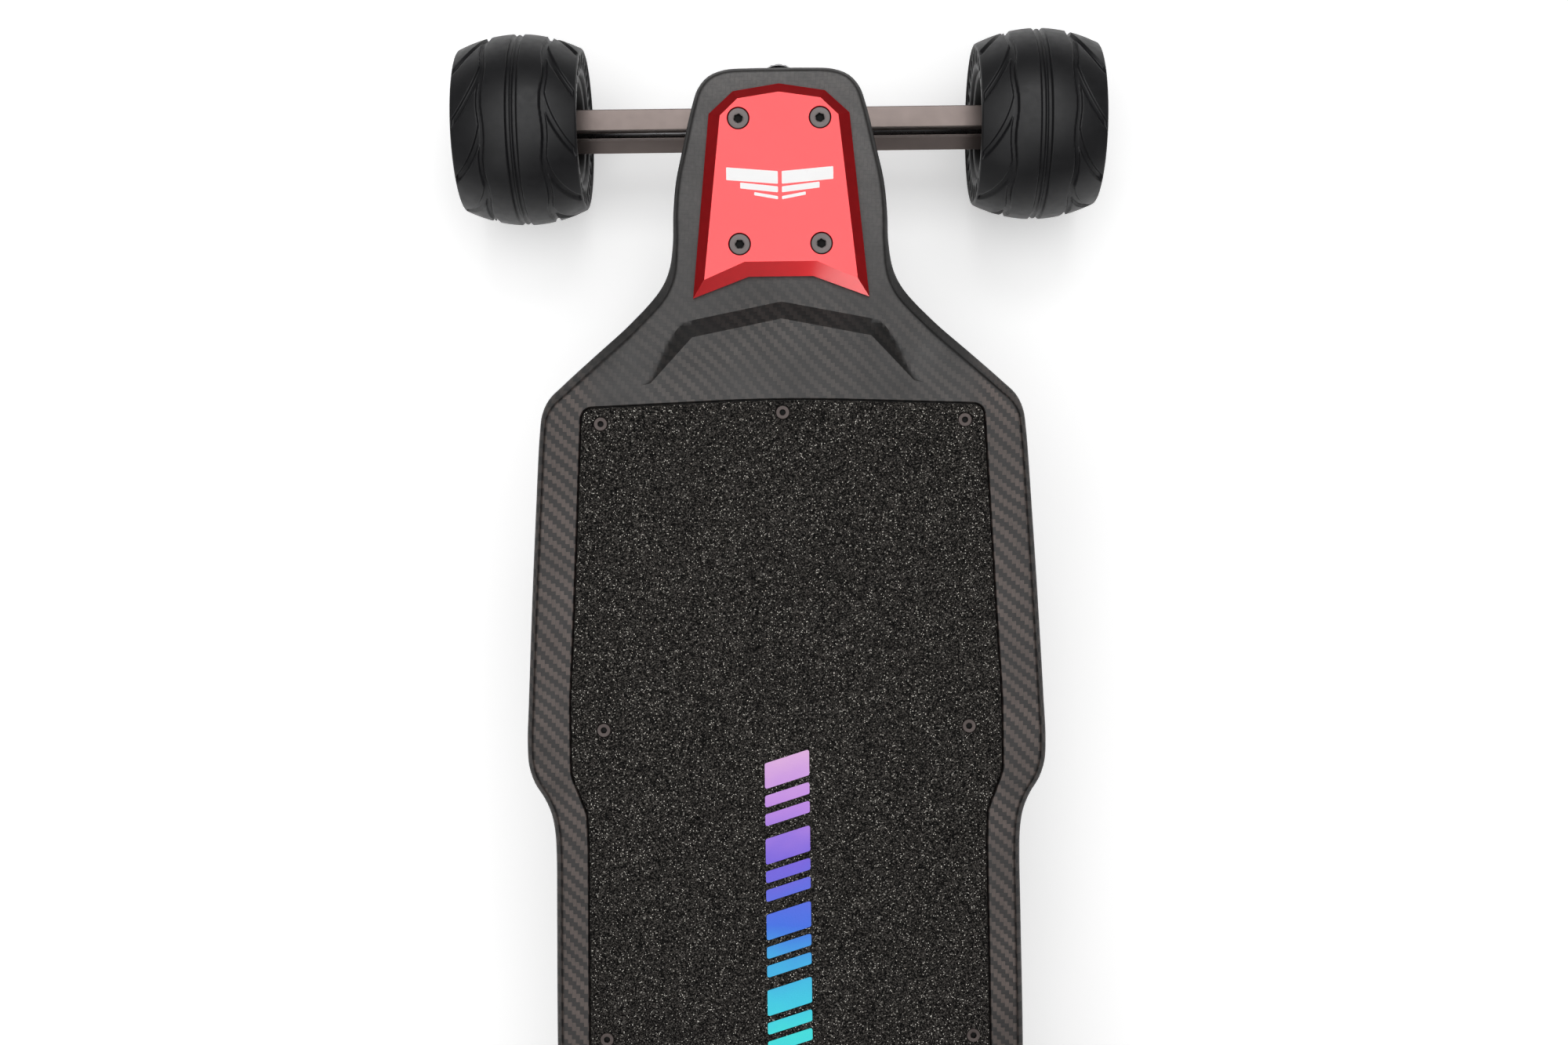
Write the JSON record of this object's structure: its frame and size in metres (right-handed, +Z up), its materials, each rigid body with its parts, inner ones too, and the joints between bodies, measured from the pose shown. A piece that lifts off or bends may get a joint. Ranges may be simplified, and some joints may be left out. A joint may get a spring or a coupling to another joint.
{
  "type": "electric skateboard",
  "caption": "Low electric carving longboard: hollow carbon deck with a grit-covered lid, double-kingpin trucks, wide airless wheels and belt-driven rear wheels.",
  "frame": {"origin": "on the ground under the middle of the board", "axes": "+Y towards the nose along the board, +X to the rider's right, +Z up"},
  "size_m": [0.354, 1.0686, 0.1518],
  "materials": {
    "carbon": "matte clear-coated carbon twill",
    "grit": "coarse black grit",
    "red_anodised": "red anodised, satin",
    "gunmetal": "satin gunmetal",
    "steel": "turned steel",
    "tyre": "moulded rubber, satin",
    "core": "moulded black nylon",
    "bushing": "cast urethane",
    "seal": "black seal rubber",
    "belt": "toothed belt rubber",
    "battery": "shrink-wrapped",
    "black_metal": "black anodised",
    "socket_plastic": "moulded"
  },
  "bodies": {
    "deck": {"deck_shell": "carbon", "grip_lid": "grit", "lid_seal": "seal", "battery_pack": "battery", "motor_controller": "black_metal", "charge_socket": "socket_plastic", "front_truck_cover": "red_anodised", "rear_truck_cover": "red_anodised", "front_baseplate": "gunmetal", "front_inner_kingpin": "steel", "front_inner_bushing_upper": "bushing", "front_inner_bushing_lower": "bushing", "rear_baseplate": "gunmetal", "rear_inner_kingpin": "steel", "rear_inner_bushing_upper": "bushing", "rear_inner_bushing_lower": "bushing"},
    "power_button": {"power_button": "black_metal"},
    "charge_cap": {"charge_cap": "seal"},
    "front_arm": {"front_truck_arm": "gunmetal", "front_outer_kingpin": "steel", "front_outer_bushing_upper": "bushing", "front_outer_bushing_lower": "bushing"},
    "front_hanger": {"front_hanger": "gunmetal", "front_left_axle_nut": "steel", "front_right_axle_nut": "steel"},
    "front_left_wheel": {"front_left_tyre": "tyre", "front_left_core": "core", "front_left_bearing_outer": "steel", "front_left_bearing_inner": "steel"},
    "front_right_wheel": {"front_right_tyre": "tyre", "front_right_core": "core", "front_right_bearing_outer": "steel", "front_right_bearing_inner": "steel"},
    "rear_arm": {"rear_truck_arm": "gunmetal", "rear_outer_kingpin": "steel", "rear_outer_bushing_upper": "bushing", "rear_outer_bushing_lower": "bushing"},
    "rear_hanger": {"rear_hanger": "gunmetal", "rear_left_axle_nut": "steel", "rear_right_axle_nut": "steel", "left_motor_mount": "black_metal", "left_motor_base": "black_metal", "left_drive_belt": "belt", "right_motor_mount": "black_metal", "right_motor_base": "black_metal", "right_drive_belt": "belt"},
    "rear_left_wheel": {"rear_left_tyre": "tyre", "rear_left_core": "core", "rear_left_bearing_outer": "steel", "rear_left_bearing_inner": "steel", "left_wheel_pulley": "steel"},
    "rear_right_wheel": {"rear_right_tyre": "tyre", "rear_right_core": "core", "rear_right_bearing_outer": "steel", "rear_right_bearing_inner": "steel", "right_wheel_pulley": "steel"},
    "left_rotor": {"left_motor_can": "black_metal", "left_motor_pulley": "steel"},
    "right_rotor": {"right_motor_can": "black_metal", "right_motor_pulley": "steel"}
  },
  "joints": [
    {"name": "front_inner_steer", "type": "hinge", "parent": "deck", "child": "front_arm", "pos_m": [0, 0.4376, 0.0949], "axis": [0, 0.7071, 0.7071], "range_deg": [-10, 10], "stiffness_Nm_per_rad": 90, "deforming": ["front_inner_bushing_upper", "front_inner_bushing_lower"]},
    {"name": "front_outer_steer", "type": "hinge", "parent": "front_arm", "child": "front_hanger", "pos_m": [0, 0.48993, 0.08217], "axis": [0, 0.7071, 0.7071], "range_deg": [-10, 10], "stiffness_Nm_per_rad": 90, "deforming": ["front_outer_bushing_upper", "front_outer_bushing_lower"]},
    {"name": "front_left_wheel_spin", "type": "hinge", "parent": "front_hanger", "child": "front_left_wheel", "pos_m": [-0.143, 0.482, 0.0523], "axis": [1, 0, 0], "continuous": true},
    {"name": "front_right_wheel_spin", "type": "hinge", "parent": "front_hanger", "child": "front_right_wheel", "pos_m": [0.143, 0.482, 0.0523], "axis": [1, 0, 0], "continuous": true},
    {"name": "rear_inner_steer", "type": "hinge", "parent": "deck", "child": "rear_arm", "pos_m": [0, -0.4376, 0.0949], "axis": [0, -0.7071, 0.7071], "range_deg": [-10, 10], "stiffness_Nm_per_rad": 90, "deforming": ["rear_inner_bushing_upper", "rear_inner_bushing_lower"]},
    {"name": "rear_outer_steer", "type": "hinge", "parent": "rear_arm", "child": "rear_hanger", "pos_m": [0, -0.48993, 0.08217], "axis": [0, -0.7071, 0.7071], "range_deg": [-10, 10], "stiffness_Nm_per_rad": 90, "deforming": ["rear_outer_bushing_upper", "rear_outer_bushing_lower"]},
    {"name": "rear_left_wheel_spin", "type": "hinge", "parent": "rear_hanger", "child": "rear_left_wheel", "pos_m": [-0.143, -0.482, 0.0523], "axis": [1, 0, 0], "continuous": true},
    {"name": "rear_right_wheel_spin", "type": "hinge", "parent": "rear_hanger", "child": "rear_right_wheel", "pos_m": [0.143, -0.482, 0.0523], "axis": [1, 0, 0], "continuous": true},
    {"name": "left_rotor_spin", "type": "hinge", "parent": "rear_hanger", "child": "left_rotor", "pos_m": [-0.055, -0.398, 0.0523], "axis": [1, 0, 0], "continuous": true},
    {"name": "right_rotor_spin", "type": "hinge", "parent": "rear_hanger", "child": "right_rotor", "pos_m": [0.055, -0.398, 0.0523], "axis": [1, 0, 0], "continuous": true},
    {"name": "power_button_press", "type": "slide", "parent": "deck", "child": "power_button", "axis": [0, 0, 1], "range_m": [0, 0.0009], "stiffness_N_per_m": 600},
    {"name": "charge_cap_hinge", "type": "hinge", "parent": "deck", "child": "charge_cap", "pos_m": [0.1214, -0.06, 0.1205], "axis": [0, 1, 0], "range_deg": [0, 110]}
  ],
  "couplings": [
    {"joint": "front_outer_steer", "follows": "front_inner_steer", "ratio": 1},
    {"joint": "rear_outer_steer", "follows": "rear_inner_steer", "ratio": 1},
    {"joint": "left_rotor_spin", "follows": "rear_left_wheel_spin", "ratio": 2.375},
    {"joint": "right_rotor_spin", "follows": "rear_right_wheel_spin", "ratio": 2.375}
  ]
}
